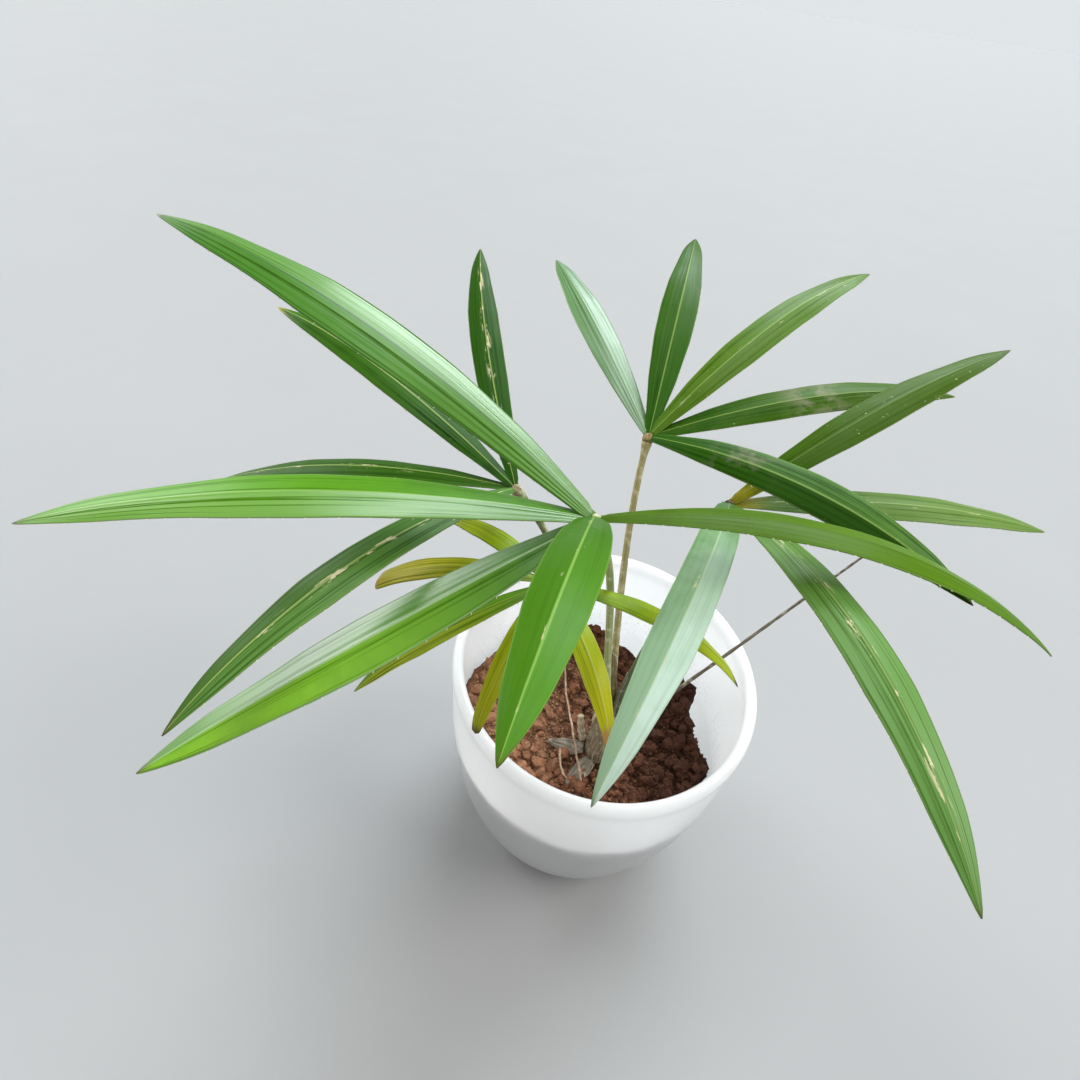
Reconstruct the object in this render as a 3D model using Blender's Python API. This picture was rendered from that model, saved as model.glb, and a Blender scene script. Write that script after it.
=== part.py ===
"""Young rattan palm in a round white pot: five fan leaves of narrow blades on thin stalks.

Sizes are in millimetres and go through MM into metres. +Z is up, -Y is the side that faces a viewer.
The origin is the middle of the flat underside of the pot.
"""

import math

import bpy
import numpy as np

MM = 0.001

# Pot: outer radius against height, then the wall and the rolled lip
POT_H = 112.0
POT_OUTER = [(0, 44), (2, 48), (8, 51), (20, 55), (40, 59.5), (60, 61.5), (80, 62.2), (100, 62)]
LIP_R = 62.5
LIP_W = 4.6
WALL = 3.0
FLOOR = 4.0
POT_SIDES = 56

# Soil: fills the pot to SOIL_Z, shrunk away from the wall at the back and on the right
GAP = 0.3
SOIL_Z = 72.0
SOIL_SIDES = 36
STEM_X, STEM_Y = 4.0, -20.0

# Stem: a short column of sheaths that leans a little, with the five stalks on top of it
STEM_TOP = (4.5, -17.0, 97.0)
STEM_R = (6.2, 4.9)
RING_R = 3.2
STALK_R = (1.4, 1.15)
KNOB_R = 2.75
BLADE_OFF = 3.2

# Leaf: bearing of its foot on the stem top (None is the middle), two guide points, hub, then its blades.
# Blade: bearing, rise, droop, sweep (degrees), length, width (mm), roll (degrees).
LEAVES = {
    "a": {
        "foot": None,
        "guides": ((-6, -15, 131), (-6, -15, 179)),
        "hub": (-20, -23.5, 205),
        "blades": (
            (157, 26, 20, 5, 148, 16, -12),
            (190, 7, 20, 3, 142, 15.5, -3),
            (215.5, -18.5, 4, -5.5, 128, 16.8, 1),
            (261, 29, 32, -2.4, 87.5, 13.7, 5),
            (4, 9.7, 41.5, -15.3, 137.5, 13.5, -7),
        ),
    },
    "b": {
        "foot": 85,
        "guides": ((0, -10, 129), (-4, 21, 166)),
        "hub": (-1, 37, 195),
        "blades": (
            (117, 17, 18, -9, 115, 13.5, -7),
            (82, 27, 24, -1, 118, 14.5, 0),
            (45, 30, 28, -1, 125, 14, 3),
            (17, 16, 21, 0, 120, 14, 12),
            (324, 15, 36, 4.5, 109, 14.3, 23),
        ),
    },
    "c": {
        "foot": 12,
        "guides": ((3, -14, 124), (23, 2, 161)),
        "hub": (27.5, 14, 188),
        "blades": (
            (31, 28, 16, 0, 116, 14, 0),
            (6, 6, 17, 2, 115, 13.5, 4),
            (291, 16, 36, -11, 123, 14, 3),
            (252, 13, 52, -8, 111, 13, 1),
        ),
    },
    "d": {
        "foot": 165,
        "guides": ((-6, -15, 127), (-23, 5, 165)),
        "hub": (-44.5, 8, 186),
        "blades": (
            (150, 19, 18, 0, 115, 12.5, -7),
            (114, 24, 13, -15, 116, 12, -1),
            (176, -2, 25, 0, 114, 12, 2),
            (235, 15, 38, 4, 117, 12.5, 2),
        ),
    },
    "e": {
        "foot": 248,
        "guides": ((1, -20.5, 122), (-16, -20, 153)),
        "hub": (-28.5, -21, 174.5),
        "blades": (
            (143, 8, 30, 7, 44, 8, -1),
            (175, 2, 45, 4, 59, 8, -1),
            (215, -5, 39, -8, 66, 7.5, 3),
            (249, -2, 67, -1, 50, 8, 0),
            (297, 6, 68, 3, 51, 8, 0),
            (354, -2, 52, 0, 74, 8, -2),
        ),
    },
}

# Blade outline: share of the length, and share of the full width there. Its margins hang below its rib by
# BLADE_KEEL of half the width, and it is BLADE_THICK thick at the rib and at the margins.
BLADE_AT = (0.0, 0.03, 0.08, 0.18, 0.32, 0.45, 0.58, 0.70, 0.80, 0.89, 0.95, 1.0)
BLADE_WIDE = (0.07, 0.18, 0.37, 0.69, 0.93, 1.0, 0.97, 0.86, 0.70, 0.46, 0.25, 0.03)
BLADE_KEEL = 0.2
BLADE_THICK = (0.9, 0.5)

# Bare dry stalk that leans out over the rim, and the small dead things on the soil
DRY_PATH = ((10.1, -15.6, 87), (28.6, -7, 100.5), (54.7, 12, 118.5), (105, 48, 147))
DRY_R = (0.9, 0.55)
STUB_PATH = ((-3.5, -17, 77.5), (-5.0, -15, 81), (-6, -12.5, 86))
# Place in plan and height above the soil of each bend of the thread-like dead root
ROOT_BENDS = (
    (-13.6, 19.5, 1.3),
    (-11.7, 6.0, 1.4),
    (-9.5, -6.0, 1.8),
    (-8.2, -13.5, 3.6),
    (-6.6, -22.0, 4.4),
    (-4.8, -29.0, 4.4),
    (-3.2, -36.0, 4.2),
)
# Foot by the stem, far end and width of each dead sheath
OLD_SHEATHS = {
    "old_sheath_left": ((-2.9, -20.6), (-18, -20), 7.0),
    "old_sheath_front": ((0.3, -25.8), (-9, -37), 7.0),
}
SHEATH_ARCH = 0.22
SHEATH_THICK = 0.7

COLOURS = {
    "pot": ((0.86, 0.86, 0.85), 0.25),
    "soil": ((0.13, 0.045, 0.028), 0.95),
    "stem": ((0.33, 0.26, 0.15), 0.8),
    "stalk": ((0.24, 0.26, 0.10), 0.6),
    "dry": ((0.16, 0.13, 0.09), 0.85),
    "root": ((0.48, 0.33, 0.22), 0.85),
    "leaf_a": ((0.11, 0.30, 0.015), 0.45),
    "leaf_b": ((0.045, 0.16, 0.012), 0.45),
    "leaf_c": ((0.08, 0.18, 0.03), 0.5),
    "leaf_d": ((0.03, 0.11, 0.02), 0.5),
    "leaf_e": ((0.20, 0.27, 0.01), 0.5),
}


def clear_scene():
    for obj in list(bpy.data.objects):
        bpy.data.objects.remove(obj, do_unlink=True)


def material(key):
    found = bpy.data.materials.get(key)
    if found:
        return found
    colour, rough = COLOURS[key]
    mat = bpy.data.materials.new(key)
    mat.use_nodes = True
    shader = mat.node_tree.nodes["Principled BSDF"]
    shader.inputs["Base Color"].default_value = (*colour, 1.0)
    shader.inputs["Roughness"].default_value = rough
    mat.diffuse_color = (*colour, 1.0)
    return mat


def solid(name, points, faces, key):
    """One object from points in millimetres and faces of any size."""
    mesh = bpy.data.meshes.new(name)
    mesh.from_pydata([tuple(float(v) * MM for v in p) for p in points], [], faces)
    mesh.update()
    obj = bpy.data.objects.new(name, mesh)
    bpy.context.scene.collection.objects.link(obj)
    mesh.materials.append(material(key))
    return obj


def stacked(rings, cap_ends=True):
    """Points and faces of a tube from rings of equal count, counter-clockwise as seen from ahead."""
    count = len(rings[0])
    points = [p for ring in rings for p in ring]
    faces = []
    for i in range(len(rings) - 1):
        for j in range(count):
            a = i * count + j
            b = i * count + (j + 1) % count
            faces.append((a, b, b + count, a + count))
    if cap_ends:
        faces.append(tuple(reversed(range(count))))
        last = (len(rings) - 1) * count
        faces.append(tuple(range(last, last + count)))
    return points, faces


def circle(centre, radius, z, sides, shape=None):
    """Ring about a vertical axis. shape(angle) scales the radius."""
    ring = []
    for i in range(sides):
        t = 2 * math.pi * i / sides
        r = radius * (shape(t) if shape else 1.0)
        ring.append((centre[0] + r * math.cos(t), centre[1] + r * math.sin(t), z))
    return ring


def inner_radius(z):
    """Inside radius of the pot wall at this height."""
    heights = [h for h, r in POT_OUTER]
    radii = [r for h, r in POT_OUTER]
    return float(np.interp(z, heights, radii)) - WALL


def make_pot():
    """One wall from the middle of the underside, up the outside, over the rolled lip and down to the floor."""
    profile = [(r, z) for z, r in POT_OUTER]
    lip_mid = LIP_R - LIP_W / 2
    profile += [(LIP_R - 0.3, 105), (LIP_R, 107.5)]
    for step in range(1, 4):
        t = math.pi * step / 4
        profile.append((lip_mid + LIP_W / 2 * math.cos(t), POT_H - LIP_W / 2 + LIP_W / 2 * math.sin(t)))
    profile += [(LIP_R - LIP_W, 108.5), (inner_radius(100) - 0.2, 104)]
    for z in (90, 60, 40, 22, 10, 6):
        profile.append((inner_radius(z), z))
    profile.append((inner_radius(6) - 4, FLOOR))
    rings = [circle((0, 0), r, z, POT_SIDES) for r, z in profile]
    points, faces = stacked(rings)
    solid("pot", points, faces, "pot")


def soil_edge(t):
    """Share of the full soil radius at this bearing: the soil has drawn back from about 0 to 115 degrees."""
    drawn = 0.0
    for middle, half, depth in ((60, 48, 0.31), (5, 30, 0.20), (105, 40, 0.17), (150, 25, 0.07), (325, 30, 0.05)):
        off = abs((math.degrees(t) - middle + 180) % 360 - 180)
        if off < half:
            drawn = max(drawn, depth * 0.5 * (1 + math.cos(math.pi * off / half)))
    return 1.0 - drawn


def soil_height(x, y):
    """Low crumbs and a slight mound round the stem."""
    waves = 1.0 * math.sin(0.16 * x + 0.9) * math.cos(0.13 * y - 0.4) + 0.6 * math.sin(0.31 * x + 0.23 * y)
    mound = 2.2 * math.exp(-((x - STEM_X) ** 2 + (y - STEM_Y) ** 2) / 260.0)
    return SOIL_Z - 0.6 + waves + mound


def make_soil():
    """A plug with a full lower part and a drawn-back top. The centre of its top lies under the stem."""
    rings = []
    for z in (FLOOR + GAP, 20, 40, 55):
        radius = inner_radius(max(z, 10)) - GAP - (6.0 if z < 5 else 0.6)
        rings.append(circle((0, 0), radius, z, SOIL_SIDES))
    top_r = inner_radius(SOIL_Z) - 1.2
    rings.append(circle((0, 0), top_r - 0.2, 63, SOIL_SIDES, lambda t: 0.35 + 0.65 * soil_edge(t)))
    for share in (1.0, 0.86, 0.66, 0.46, 0.28):
        ring = []
        for x, y, z in circle((0, 0), top_r, 0, SOIL_SIDES, soil_edge):
            px = STEM_X + (x - STEM_X) * share
            py = STEM_Y + (y - STEM_Y) * share
            ring.append((px, py, soil_height(px, py) - (2.0 if share == 1.0 else 0.0)))
        rings.append(ring)
    points, faces = stacked(rings, cap_ends=False)
    faces.append(tuple(reversed(range(SOIL_SIDES))))
    last = (len(rings) - 1) * SOIL_SIDES
    points.append((STEM_X, STEM_Y, SOIL_Z + 2.6))
    for j in range(SOIL_SIDES):
        faces.append((last + j, last + (j + 1) % SOIL_SIDES, len(points) - 1))
    solid("soil", points, faces, "soil")


def bezier(p0, p1, p2, p3, count):
    t = np.linspace(0, 1, count)[:, None]
    p0, p1, p2, p3 = (np.array(p, float) for p in (p0, p1, p2, p3))
    return (1 - t) ** 3 * p0 + 3 * (1 - t) ** 2 * t * p1 + 3 * (1 - t) * t**2 * p2 + t**3 * p3


def unit(v):
    return v / np.linalg.norm(v)


def swept(path, radii, sides):
    """Rings of a round rod along a path, each square to it, turned as little as can be from one to the next."""
    path = np.array(path, float)
    rings = []
    across = np.array([1.0, 0.0, 0.0])
    for i, centre in enumerate(path):
        ahead = unit(path[min(i + 1, len(path) - 1)] - path[max(i - 1, 0)])
        across = unit(across - ahead * (across @ ahead))
        other = np.cross(ahead, across)
        ring = []
        for j in range(sides):
            t = 2 * math.pi * j / sides
            ring.append(centre + radii[i] * (math.cos(t) * across + math.sin(t) * other))
        rings.append(ring)
    return rings


def make_stem():
    foot = np.array([STEM_X, STEM_Y, SOIL_Z + 3.2])
    top = np.array(STEM_TOP)
    shares = (0.0, 0.25, 0.6, 0.9, 1.0)
    radii = (STEM_R[0], STEM_R[0] - 0.3, 5.2, STEM_R[1], STEM_R[1] - 0.3)
    path = [foot + (top - foot) * s for s in shares]
    rings = [
        [(c[0] + r * math.cos(t), c[1] + r * math.sin(t), c[2]) for t in np.linspace(0, 2 * math.pi, 14)[:-1]]
        for c, r in zip(path, radii)
    ]
    points, faces = stacked(rings)
    solid("stem", points, faces, "stem")


def stalk_path(leaf):
    """Centre line of one leaf stalk, from the stem top to the middle of its hub."""
    foot = np.array(STEM_TOP) + (0, 0, GAP)
    if leaf["foot"] is not None:
        t = math.radians(leaf["foot"])
        foot = foot + (RING_R * math.cos(t), RING_R * math.sin(t), 0)
    return bezier(foot, *leaf["guides"], leaf["hub"], 18)


def make_stalk(key, leaf):
    """A thin rod that ends in a round knob, which the blades stand round."""
    path = stalk_path(leaf)
    ahead = unit(path[-1] - path[-2])
    hub = np.array(leaf["hub"], float)
    rod = list(path[:-2])
    radii = list(np.linspace(STALK_R[0], STALK_R[1], len(rod)))
    for along in (-2.3, -1.4, 0.0, 1.4, 2.2, 2.5):
        rod.append(hub + ahead * along)
        radii.append(max(math.sqrt(KNOB_R**2 - along**2), 0.6))
    rings = swept(rod, radii, 8)
    flat_foot = [(p[0], p[1], path[0][2]) for p in rings[0]]
    points, faces = stacked([flat_foot] + rings[1:])
    solid(f"stalk_{key}", points, faces, "stalk")


def blade_frame(hub, spec, shares):
    """Centre, ahead, left and up of a blade at each share of its length."""
    bearing, rise, droop, sweep, length, width, roll = spec
    fine = np.linspace(0, 1, 41)
    up_angle = np.radians(rise - droop * fine**1.3)
    turn = np.radians(bearing + sweep * fine)
    ahead = np.stack([np.cos(up_angle) * np.cos(turn), np.cos(up_angle) * np.sin(turn), np.sin(up_angle)], 1)
    steps = (ahead[1:] + ahead[:-1]) / 2 * length / 40
    centre = np.vstack([np.zeros(3), np.cumsum(steps, axis=0)]) + np.array(hub, float) + ahead[0] * BLADE_OFF
    left = np.stack([-np.sin(turn), np.cos(turn), np.zeros(41)], 1)
    up = np.cross(ahead, left)
    a = math.radians(roll)
    left, up = left * math.cos(a) + up * math.sin(a), up * math.cos(a) - left * math.sin(a)

    def at(rows):
        return np.stack([np.interp(shares, fine, rows[:, k]) for k in range(3)], 1)

    return at(centre), at(ahead), at(left), at(up)


def strip_ring(centre, to_left, up, drop, mid, edge):
    """Six corners of a roof section: margins lower by drop, half thickness mid at the rib and edge outside."""
    return [
        centre + to_left - up * (drop + edge),
        centre + to_left - up * (drop - edge),
        centre + up * mid,
        centre - to_left - up * (drop - edge),
        centre - to_left - up * (drop + edge),
        centre - up * mid,
    ]


def strip(name, rings, key):
    points, faces = stacked(rings, cap_ends=False)
    last = len(points) - 6
    faces += [(0, 5, 2, 1), (2, 5, 4, 3)]
    faces += [(last, last + 1, last + 2, last + 5), (last + 2, last + 3, last + 4, last + 5)]
    solid(name, points, faces, key)


def make_blade(name, hub, spec, key):
    """A lance-shaped blade with a shallow roof section: thicker along the rib, thin at both lower margins."""
    centre, ahead, left, up = blade_frame(hub, spec, BLADE_AT)
    rings = []
    for i, wide in enumerate(BLADE_WIDE):
        half = max(spec[5] * wide / 2, 0.3)
        drop = BLADE_KEEL * half
        mid = BLADE_THICK[0] / 2 * (0.55 if i == len(BLADE_WIDE) - 1 else 1.0)
        edge = BLADE_THICK[1] / 2
        rings.append(strip_ring(centre[i], left[i] * half, up[i], drop, mid, edge))
    strip(name, rings, key)


def make_leaves():
    for key, leaf in LEAVES.items():
        make_stalk(key, leaf)
        for number, spec in enumerate(leaf["blades"], 1):
            make_blade(f"blade_{key}{number}", leaf["hub"], spec, f"leaf_{key}")


def make_rod(name, path, radii, key, sides=6):
    rings = swept(path, np.linspace(radii[0], radii[1], len(path)), sides)
    points, faces = stacked(rings)
    solid(name, points, faces, key)


def make_old_sheath(name, start, end, width):
    """A curled dead sheath that lies on the soil: an arched strip, wide by the stem and narrow at its end."""
    start, end = np.array(start, float), np.array(end, float)
    along = unit(end - start)
    to_left = np.array((-along[1], along[0], 0.0))
    up = np.array((0.0, 0.0, 1.0))
    rings = []
    for share, wide, lift in ((0, 0.75, 1.9), (0.25, 1, 2.4), (0.55, 0.85, 2.5), (0.8, 0.5, 2.1), (1, 0.12, 1.6)):
        half = width * wide / 2
        x, y = start + (end - start) * share
        centre = np.array((x, y, soil_height(x, y) + lift))
        rings.append(strip_ring(centre, to_left * half, up, SHEATH_ARCH * half, SHEATH_THICK / 2, SHEATH_THICK / 2))
    strip(name, rings, "dry")


def make_litter():
    make_rod("dry_stalk", bezier(*DRY_PATH, 10), DRY_R, "dry")
    make_rod("stub", STUB_PATH, (1.5, 1.2), "stem")
    make_rod("dead_root", [(x, y, soil_height(x, y) + lift) for x, y, lift in ROOT_BENDS], (0.5, 0.45), "root")
    for name, (start, end, width) in OLD_SHEATHS.items():
        make_old_sheath(name, start, end, width)


clear_scene()
make_pot()
make_soil()
make_stem()
make_leaves()
make_litter()
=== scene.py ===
import math

import bpy
import numpy as np
from mathutils import Matrix, Vector, noise


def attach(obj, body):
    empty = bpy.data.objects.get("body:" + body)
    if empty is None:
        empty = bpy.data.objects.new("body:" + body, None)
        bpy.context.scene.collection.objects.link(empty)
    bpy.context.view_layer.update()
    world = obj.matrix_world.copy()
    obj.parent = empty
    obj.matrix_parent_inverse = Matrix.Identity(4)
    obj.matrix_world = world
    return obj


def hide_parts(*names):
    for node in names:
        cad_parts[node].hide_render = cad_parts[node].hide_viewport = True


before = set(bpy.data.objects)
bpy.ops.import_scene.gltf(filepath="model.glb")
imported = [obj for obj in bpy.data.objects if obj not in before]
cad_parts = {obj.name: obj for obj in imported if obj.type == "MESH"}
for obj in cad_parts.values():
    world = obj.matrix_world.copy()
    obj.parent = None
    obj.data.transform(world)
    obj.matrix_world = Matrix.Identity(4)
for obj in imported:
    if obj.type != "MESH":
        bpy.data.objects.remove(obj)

# Studio: a pale floor, a pale wall that fades into a dimmer ceiling, and a camera close above the leaves.
# Broad soft lights stand behind the plant, as a window would, and give the waxy leaves their sheen. Others
# come from both sides and, weaker, from the front.
bpy.ops.object.select_all(action="DESELECT")
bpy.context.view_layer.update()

EYE = Vector((-0.0339, -0.1477, 0.3125))
RIGHT = Vector((0.9892, 0.1011, 0.1059))
UPWARD = Vector((-0.1464, 0.6831, 0.7155))
BACKWARD = Vector((0.0, -0.7233, 0.6905))
LENS = 20.0
SENSOR = 36.0
RAISED_FRAME = 0.00139

bpy.ops.object.camera_add()
camera = bpy.context.object
camera.name = "camera"
turned = Matrix((RIGHT, UPWARD, BACKWARD)).transposed().to_4x4()
turned.translation = EYE
camera.matrix_world = turned
camera.data.lens = LENS
camera.data.sensor_width = SENSOR
camera.data.shift_y = RAISED_FRAME
camera.data.clip_start = 0.005
bpy.context.scene.camera = camera


def soft_light(name, bearing, rise, spread, strength, colour):
    """A broad light far away. bearing goes from +Y towards +X and rise up from the floor, in degrees."""
    level = math.cos(math.radians(rise))
    towards = Vector((
        math.sin(math.radians(bearing)) * level,
        math.cos(math.radians(bearing)) * level,
        math.sin(math.radians(rise)),
    ))
    bpy.ops.object.light_add(type="SUN", location=towards)
    lamp = bpy.context.object
    lamp.name = name
    lamp.rotation_euler = towards.to_track_quat("Z", "Y").to_euler()
    lamp.data.energy = strength
    lamp.data.angle = math.radians(spread)
    lamp.data.color = colour


soft_light("window_light", 8, 36, 26, 1.4, (0.87, 0.95, 1.0))
soft_light("window_right_light", 34, 37, 26, 1.3, (0.87, 0.95, 1.0))
soft_light("top_light", 4, 72, 28, 1.3, (0.90, 0.96, 1.0))
soft_light("front_light", 215, 52, 60, 0.55, (1.0, 0.96, 0.92))
soft_light("upper_right_light", 88, 41, 36, 1.8, (1.0, 0.99, 0.97))
soft_light("side_light", -54, 21, 34, 1.6, (0.97, 0.99, 1.0))
bpy.context.scene.view_settings.view_transform = "Standard"

WALL_COLOUR = (0.942, 0.982, 1.0, 1)
WALL_SHADE, CEILING_SHADE = 0.80, 0.30
WALL_TOP = (0.03, 0.18)
world = bpy.data.worlds.new("studio_air")
bpy.context.scene.world = world
world.use_nodes = True


def new_material(name, rough, **sockets):
    """A material whose plain values are set on the shader itself."""
    made = bpy.data.materials.new(name)
    made.use_nodes = True
    tree = made.node_tree
    shader = tree.nodes["Principled BSDF"]
    shader.inputs["Roughness"].default_value = rough
    for socket, value in sockets.items():
        shader.inputs[socket.replace("_", " ")].default_value = value
    return made, tree, shader


def put(tree, kind, feeds, **settings):
    """One node. feeds maps an input to a value or to the socket that drives it."""
    made = tree.nodes.new(kind)
    for key, value in settings.items():
        setattr(made, key, value)
    for key, value in feeds.items():
        if isinstance(value, bpy.types.NodeSocket):
            tree.links.new(value, made.inputs[key])
        else:
            made.inputs[key].default_value = value
    return made


def ramp(tree, value, low, high, to_low=0.0, to_high=1.0):
    """A smooth step of value from low to high."""
    feeds = {"Value": value, "From Min": low, "From Max": high, "To Min": to_low, "To Max": to_high}
    return put(tree, "ShaderNodeMapRange", feeds, interpolation_type="SMOOTHSTEP").outputs["Result"]


def tint(tree, share, first, second):
    """first turned into second by share. A colour is three numbers or a socket."""
    made = put(tree, "ShaderNodeMix", {"Factor": share}, data_type="RGBA")
    for index, colour in ((6, first), (7, second)):
        if isinstance(colour, bpy.types.NodeSocket):
            tree.links.new(colour, made.inputs[index])
        else:
            made.inputs[index].default_value = (*colour, 1.0)
    return made.outputs[2]


def speckle(tree, scale, detail=3.0, stretch=(1, 1, 1), place=None, rough=0.6):
    """Noise between 0 and 1 in the piece's own coordinates, about 1/scale metres to a spot."""
    if place is None:
        place = put(tree, "ShaderNodeTexCoord", {}).outputs["Object"]
    if stretch != (1, 1, 1):
        place = put(tree, "ShaderNodeMapping", {"Vector": place, "Scale": stretch}).outputs["Vector"]
    feeds = {"Vector": place, "Scale": scale, "Detail": detail, "Roughness": rough}
    return put(tree, "ShaderNodeTexNoise", feeds).outputs["Fac"]


air = world.node_tree
wall = air.nodes["Background"]
wall.inputs["Color"].default_value = WALL_COLOUR
all_round = put(air, "ShaderNodeTexCoord", {}).outputs["Generated"]
upward = put(air, "ShaderNodeSeparateXYZ", {0: all_round}).outputs["Z"]
air.links.new(ramp(air, upward, *WALL_TOP, WALL_SHADE, CEILING_SHADE), wall.inputs["Strength"])

bpy.ops.mesh.primitive_plane_add(size=60, location=(0, 0, 0))
floor = bpy.context.object
floor.name = "studio_floor"
pale, tree, shader = new_material("pale_floor", 0.85)
grey = tint(tree, speckle(tree, 6.0), (0.33, 0.33, 0.33), (0.35, 0.35, 0.35))
tree.links.new(grey, shader.inputs["Base Color"])
floor.data.materials.append(pale)

# Pot: one moulded shell of glossy white plastic with a rolled lip, flat underneath.
# A circle is drawn up level by level, over the lip and down inside, then smoothed.
MM = 0.001
POT_H = 112.0
LIP_R = 62.5
LIP_W = 4.6
WALL = 3.0
FLOOR = 4.0
POT_OUTER = ((46, 0), (48.6, 2.6), (51, 8), (55, 20), (59.5, 40), (61.5, 60), (62.2, 80), (62.0, 100))
POT_ROUND = 72
FOOT_R = POT_OUTER[0][0]
FOOT_MIDDLE_R = FOOT_R - 8


def inner_radius(z):
    """Inside radius of the wall, in millimetres, at a height above the underside."""
    return float(np.interp(z, [h for r, h in POT_OUTER], [r for r, h in POT_OUTER])) - WALL


def finish_piece(obj, name, made, nodes):
    """Names a piece, gives it its material, and ties it to the frame."""
    obj.name = name
    obj.data.name = name
    obj.data.materials.clear()
    obj.data.materials.append(made)
    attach(obj, "root")
    if nodes:
        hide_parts(*nodes)
    obj.select_set(False)


def apply_modifier(obj, kind, **settings):
    bpy.context.view_layer.objects.active = obj
    added = obj.modifiers.new(kind.lower(), kind)
    for key, value in settings.items():
        setattr(added, key, value)
    bpy.ops.object.modifier_apply(modifier=added.name)


bpy.ops.mesh.primitive_circle_add(vertices=POT_ROUND, radius=FOOT_MIDDLE_R * MM, fill_type="NGON")
pot = bpy.context.object
bpy.ops.object.mode_set(mode="EDIT")
bpy.ops.mesh.flip_normals()
levels = [(FOOT_R - 1, 0)] + list(POT_OUTER)
levels += [(LIP_R - 0.3, 104.6), (LIP_R, 107), (LIP_R, 109.4), (LIP_R - 0.9, 111.2), (LIP_R - 2.3, POT_H)]
levels += [(LIP_R - 3.7, 111.3), (LIP_R - LIP_W, 109.6), (LIP_R - LIP_W - 0.1, 107.2)]
levels += [(inner_radius(100), 104)] + [(inner_radius(z), z) for z in (96, 80, 60, 40, 20, 9)]
levels += [(inner_radius(9) - 1.6, FLOOR + 1.2), (inner_radius(9) - 5, FLOOR), (inner_radius(9) - 12, FLOOR)]
radius, height = FOOT_MIDDLE_R, 0.0
for next_radius, next_height in levels:
    lift = (0, 0, (next_height - height) * MM)
    bpy.ops.mesh.extrude_region_move(TRANSFORM_OT_translate={"value": lift})
    grow = next_radius / radius
    bpy.ops.transform.resize(value=(grow, grow, 1), center_override=(0, 0, next_height * MM))
    radius, height = next_radius, next_height
bpy.ops.mesh.select_all(action="SELECT")
bpy.ops.mesh.normals_make_consistent(inside=False)
bpy.ops.object.mode_set(mode="OBJECT")
apply_modifier(pot, "SUBSURF", levels=2, render_levels=2)
bpy.ops.object.shade_smooth()


def maths(tree, operation, first, second=0.0):
    return put(tree, "ShaderNodeMath", {0: first, 1: second}, operation=operation).outputs[0]


# The white is a little translucent, with dust from the soil low on the inner wall, and its inside is painted
# brighter as painted light
white, tree, shader = new_material(
    "white_plastic", 0.27, IOR=1.45, Subsurface_Weight=1.0, Subsurface_Scale=0.03
)
shader.inputs["Subsurface Radius"].default_value = (1, 1, 1)
place = put(tree, "ShaderNodeTexCoord", {}).outputs["Object"]
level = put(tree, "ShaderNodeSeparateXYZ", {0: place}).outputs["Z"]
flat = put(tree, "ShaderNodeVectorMath", {0: place, 1: (1, 1, 0)}, operation="MULTIPLY").outputs[0]
from_axis = put(tree, "ShaderNodeVectorMath", {0: flat}, operation="LENGTH").outputs["Value"]
inside = maths(tree, "MULTIPLY", ramp(tree, from_axis, 0.0606, 0.0598), ramp(tree, level, 0.058, 0.066))
dust = ramp(tree, speckle(tree, 900.0, detail=4.0), 0.56, 0.70, 0.0, 0.6)
dust = maths(tree, "MULTIPLY", maths(tree, "MULTIPLY", dust, ramp(tree, level, 0.086, 0.070)), inside)
outer = tint(tree, speckle(tree, 45.0), (0.83, 0.83, 0.83), (0.86, 0.86, 0.86))
# The inner wall is painted a brighter white than the outside: painted light for the light that fills the pot's
# inside
shade = tint(tree, dust, tint(tree, inside, outer, (0.95, 0.95, 0.95)), (0.42, 0.28, 0.2))
tree.links.new(shade, shader.inputs["Base Color"])
finish_piece(pot, "pot_shell", white, ["pot"])

# Soil: moist red-brown coir and earth that has drawn back from the wall at the back and the right.
# A round grid is wrapped over the plug and roughened, with loose lumps and crumbs strewn on it.
SOIL_Z = 72.0
STEM_X, STEM_Y = 4.0, -20.0
STEM_FOOT = 6.5
# Where the soil has drawn back: bearing, half its spread in degrees, and share of the radius
DRAWN_BACK = ((60, 48, 0.31), (5, 30, 0.20), (105, 40, 0.17), (150, 25, 0.07), (325, 30, 0.05))
CLOD_HEIGHT, CLOD_SIZE = 1.9, 5.0
BED_SUNK = 0.7
# Shares of the grid's rows at which the soil's top and its side end
TOP_END, SIDE_END = 0.78, 0.96
SOIL_R = inner_radius(SOIL_Z) - 1.2
rng = np.random.default_rng(7)


def soil_edge(t):
    """Share of the full radius that the soil reaches at a bearing in radians."""
    drawn = 0.0
    for middle, half, depth in DRAWN_BACK:
        off = abs((math.degrees(t) - middle + 180) % 360 - 180)
        if off < half:
            drawn = max(drawn, depth * 0.5 * (1 + math.cos(math.pi * off / half)))
    return 1.0 - drawn


def soil_height(x, y):
    waves = 1.0 * math.sin(0.16 * x + 0.9) * math.cos(0.13 * y - 0.4) + 0.6 * math.sin(0.31 * x + 0.23 * y)
    mound = 2.2 * math.exp(-((x - STEM_X) ** 2 + (y - STEM_Y) ** 2) / 260.0)
    return SOIL_Z - 0.6 + waves + mound


def lumps(x, y, z, size, octaves=3):
    """Rough noise of about unit height with lumps of this size in millimetres."""
    return noise.fractal(Vector((x / size, y / size, z / size)), 0.8, 2.1, octaves)


def clods(x, y):
    """Height of the soil's clods above or below its smooth surface, in millimetres."""
    return CLOD_HEIGHT * lumps(x, y, 0, CLOD_SIZE, 4)


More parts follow.
